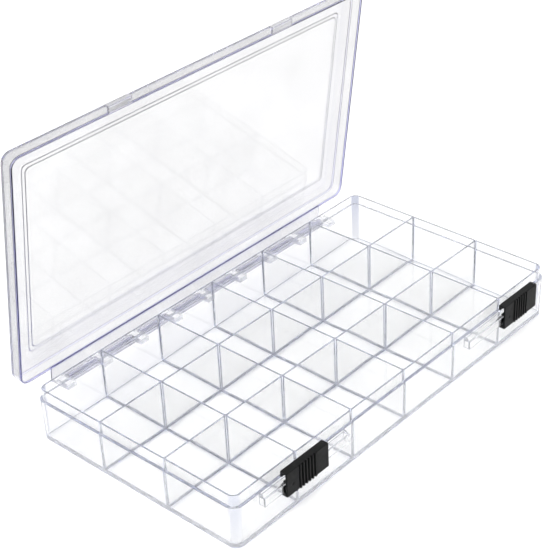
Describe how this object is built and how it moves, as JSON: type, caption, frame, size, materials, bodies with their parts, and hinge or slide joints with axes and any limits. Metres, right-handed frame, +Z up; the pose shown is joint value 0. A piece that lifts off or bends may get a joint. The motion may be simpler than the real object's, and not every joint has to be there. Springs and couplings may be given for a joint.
{
  "type": "fishing tackle box",
  "caption": "Clear rectangular compartment box for small tackle, hinged lid with a shallow skirt standing open, grid of fixed dividers, black latches sliding on front rails.",
  "frame": {"origin": "centre of the underside of the tray", "axes": "+X along the long side to the right seen from the latches, -Y towards the latches, +Y towards the hinge, +Z up out of the tray; lid stored standing open"},
  "size_m": [0.275, 0.1736, 0.1793],
  "materials": {
    "clear_tray": "clear, glossy",
    "clear_lid": "clear, glossy",
    "black_latch": "black, satin"
  },
  "bodies": {
    "tray": {"base_floor": "clear_tray", "base_wall_front": "clear_tray", "base_wall_back": "clear_tray", "base_wall_left": "clear_tray", "base_wall_right": "clear_tray", "long_divider_front": "clear_tray", "long_divider_back": "clear_tray", "cross_divider_1_front": "clear_tray", "cross_divider_1_middle": "clear_tray", "cross_divider_1_back": "clear_tray", "cross_divider_2_front": "clear_tray", "cross_divider_2_middle": "clear_tray", "cross_divider_2_back": "clear_tray", "cross_divider_3_front": "clear_tray", "cross_divider_3_middle": "clear_tray", "cross_divider_3_back": "clear_tray", "cross_divider_4_front": "clear_tray", "cross_divider_4_middle": "clear_tray", "cross_divider_4_back": "clear_tray", "cross_divider_5_front": "clear_tray", "cross_divider_5_middle": "clear_tray", "cross_divider_5_back": "clear_tray", "latch_rail_left": "clear_tray", "latch_rail_right": "clear_tray", "hinge_rod": "clear_tray"},
    "lid": {"lid_panel": "clear_lid", "lid_skirt_front": "clear_lid", "lid_skirt_back": "clear_lid", "lid_skirt_left": "clear_lid", "lid_skirt_right": "clear_lid", "hinge_leaf": "clear_lid", "lid_catch_left": "clear_lid", "lid_catch_right": "clear_lid"},
    "latch_slide_left": {"latch_left": "black_latch"},
    "latch_slide_right": {"latch_right": "black_latch"}
  },
  "joints": [
    {"name": "lid_hinge", "type": "hinge", "parent": "tray", "child": "lid", "pos_m": [0, 0.0806, 0.021], "axis": [1, 0, 0], "range_deg": [0, 82]},
    {"name": "left_latch", "type": "slide", "parent": "tray", "child": "latch_slide_left", "axis": [1, 0, 0], "range_m": [-0.0139, 0.0179]},
    {"name": "right_latch", "type": "slide", "parent": "tray", "child": "latch_slide_right", "axis": [-1, 0, 0], "range_m": [0, 0.0316]}
  ]
}
